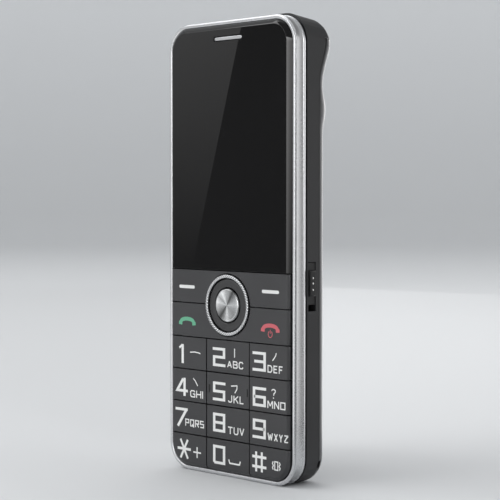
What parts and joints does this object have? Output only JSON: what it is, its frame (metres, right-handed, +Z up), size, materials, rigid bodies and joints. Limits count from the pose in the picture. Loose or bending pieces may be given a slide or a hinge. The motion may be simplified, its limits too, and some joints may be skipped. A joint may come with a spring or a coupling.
{
  "type": "mobile phone",
  "caption": "Upright bar phone with large number keys, round navigation key, dark screen glass, silver frame, humped rear cover and a slide switch on its right side.",
  "frame": {"origin": "centre of the bounding box's floor: the phone stands on its bottom end", "axes": "+Z up to the top end, -Y out of the screen, +X to the side with the slide switch"},
  "size_m": [0.0526, 0.0176, 0.1327],
  "materials": {
    "silver_frame": "silver, satin",
    "brushed_metal": "radially brushed and knurled",
    "key_plastic": "dark grey, satin moulded",
    "screen_glass": "black-backed, polished",
    "housing_plastic": "dark grey, fine moulded texture",
    "black_plastic": "black, moulded",
    "silicone": "grey, matt",
    "dome_film": "clear film",
    "circuit_board": "green lacquer",
    "plated_steel": "tin plated",
    "clear_lens": "clear",
    "led_body": "yellow phosphor",
    "battery_wrap": "grey wrap",
    "flex_film": "amber film",
    "card_plastic": "white"
  },
  "bodies": {
    "root": {"antenna": "flex_film", "audio_jack": "black_plastic", "battery": "battery_wrap", "battery_connector": "black_plastic", "bezel_frame": "silver_frame", "camera_module": "black_plastic", "case_screw_high_left": "plated_steel", "case_screw_high_right": "plated_steel", "case_screw_low_left": "plated_steel", "case_screw_low_right": "plated_steel", "display_flex": "flex_film", "display_module": "screen_glass", "dome_sheet": "dome_film", "earpiece": "plated_steel", "earpiece_grille": "silver_frame", "front_chassis": "black_plastic", "front_lens": "screen_glass", "keypad_mat": "silicone", "loudspeaker": "black_plastic", "main_board": "circuit_board", "memory_card_holder": "plated_steel", "microphone": "plated_steel", "nav_ring": "brushed_metal", "rear_housing": "housing_plastic", "shield_can_power": "plated_steel", "shield_can_radio": "plated_steel", "sim_card_left": "card_plastic", "sim_card_right": "card_plastic", "sim_holder_left": "plated_steel", "sim_holder_right": "plated_steel", "speaker_mesh": "plated_steel", "torch_led": "led_body", "torch_lens": "clear_lens", "torch_switch": "plated_steel", "usb_socket": "plated_steel", "vibration_motor": "plated_steel"},
    "key_soft_left": {"key_soft_left": "key_plastic"},
    "key_soft_right": {"key_soft_right": "key_plastic"},
    "key_call": {"key_call": "key_plastic"},
    "key_end": {"key_end": "key_plastic"},
    "key_1": {"key_1": "key_plastic"},
    "key_2": {"key_2": "key_plastic"},
    "key_3": {"key_3": "key_plastic"},
    "key_4": {"key_4": "key_plastic"},
    "key_5": {"key_5": "key_plastic"},
    "key_6": {"key_6": "key_plastic"},
    "key_7": {"key_7": "key_plastic"},
    "key_8": {"key_8": "key_plastic"},
    "key_9": {"key_9": "key_plastic"},
    "key_star": {"key_star": "key_plastic"},
    "key_0": {"key_0": "key_plastic"},
    "key_hash": {"key_hash": "key_plastic"},
    "ok_button": {"ok_button": "brushed_metal"},
    "nav_pivot": {"nav_pivot": "plated_steel"},
    "nav_rocker": {"nav_rocker": "key_plastic"},
    "torch_slider": {"torch_slider": "housing_plastic"},
    "rear_cover": {"rear_cover": "housing_plastic", "camera_window": "screen_glass"},
    "vibration_weight": {"vibration_weight": "plated_steel"}
  },
  "joints": [
    {"name": "key_soft_left_press", "type": "slide", "parent": "root", "child": "key_soft_left", "axis": [0, 1, 0], "range_m": [0, 0.0004], "stiffness_N_per_m": 400},
    {"name": "key_soft_right_press", "type": "slide", "parent": "root", "child": "key_soft_right", "axis": [0, 1, 0], "range_m": [0, 0.0004], "stiffness_N_per_m": 400},
    {"name": "key_call_press", "type": "slide", "parent": "root", "child": "key_call", "axis": [0, 1, 0], "range_m": [0, 0.0004], "stiffness_N_per_m": 400},
    {"name": "key_end_press", "type": "slide", "parent": "root", "child": "key_end", "axis": [0, 1, 0], "range_m": [0, 0.0004], "stiffness_N_per_m": 400},
    {"name": "key_1_press", "type": "slide", "parent": "root", "child": "key_1", "axis": [0, 1, 0], "range_m": [0, 0.0004], "stiffness_N_per_m": 400},
    {"name": "key_2_press", "type": "slide", "parent": "root", "child": "key_2", "axis": [0, 1, 0], "range_m": [0, 0.0004], "stiffness_N_per_m": 400},
    {"name": "key_3_press", "type": "slide", "parent": "root", "child": "key_3", "axis": [0, 1, 0], "range_m": [0, 0.0004], "stiffness_N_per_m": 400},
    {"name": "key_4_press", "type": "slide", "parent": "root", "child": "key_4", "axis": [0, 1, 0], "range_m": [0, 0.0004], "stiffness_N_per_m": 400},
    {"name": "key_5_press", "type": "slide", "parent": "root", "child": "key_5", "axis": [0, 1, 0], "range_m": [0, 0.0004], "stiffness_N_per_m": 400},
    {"name": "key_6_press", "type": "slide", "parent": "root", "child": "key_6", "axis": [0, 1, 0], "range_m": [0, 0.0004], "stiffness_N_per_m": 400},
    {"name": "key_7_press", "type": "slide", "parent": "root", "child": "key_7", "axis": [0, 1, 0], "range_m": [0, 0.0004], "stiffness_N_per_m": 400},
    {"name": "key_8_press", "type": "slide", "parent": "root", "child": "key_8", "axis": [0, 1, 0], "range_m": [0, 0.0004], "stiffness_N_per_m": 400},
    {"name": "key_9_press", "type": "slide", "parent": "root", "child": "key_9", "axis": [0, 1, 0], "range_m": [0, 0.0004], "stiffness_N_per_m": 400},
    {"name": "key_star_press", "type": "slide", "parent": "root", "child": "key_star", "axis": [0, 1, 0], "range_m": [0, 0.0004], "stiffness_N_per_m": 400},
    {"name": "key_0_press", "type": "slide", "parent": "root", "child": "key_0", "axis": [0, 1, 0], "range_m": [0, 0.0004], "stiffness_N_per_m": 400},
    {"name": "key_hash_press", "type": "slide", "parent": "root", "child": "key_hash", "axis": [0, 1, 0], "range_m": [0, 0.0004], "stiffness_N_per_m": 400},
    {"name": "ok_press", "type": "slide", "parent": "root", "child": "ok_button", "axis": [0, 1, 0], "range_m": [0, 0.00035], "stiffness_N_per_m": 400},
    {"name": "nav_tilt_up_down", "type": "hinge", "parent": "root", "child": "nav_pivot", "pos_m": [0, -0.00662, 0.04996], "axis": [1, 0, 0], "range_deg": [-1.6, 1.6], "stiffness_Nm_per_rad": 0.02},
    {"name": "nav_tilt_left_right", "type": "hinge", "parent": "nav_pivot", "child": "nav_rocker", "pos_m": [0, -0.00662, 0.04996], "axis": [0, 0, 1], "range_deg": [-1.6, 1.6], "stiffness_Nm_per_rad": 0.02},
    {"name": "torch_slide", "type": "slide", "parent": "root", "child": "torch_slider", "axis": [0, 0, -1], "range_m": [0, 0.0017]},
    {"name": "cover_lift", "type": "slide", "parent": "root", "child": "rear_cover", "axis": [0, 1, 0], "range_m": [0, 0.02]},
    {"name": "weight_spin", "type": "hinge", "parent": "root", "child": "vibration_weight", "pos_m": [0.0148, 0.00193, 0.1185], "axis": [1, 0, 0], "continuous": true}
  ]
}
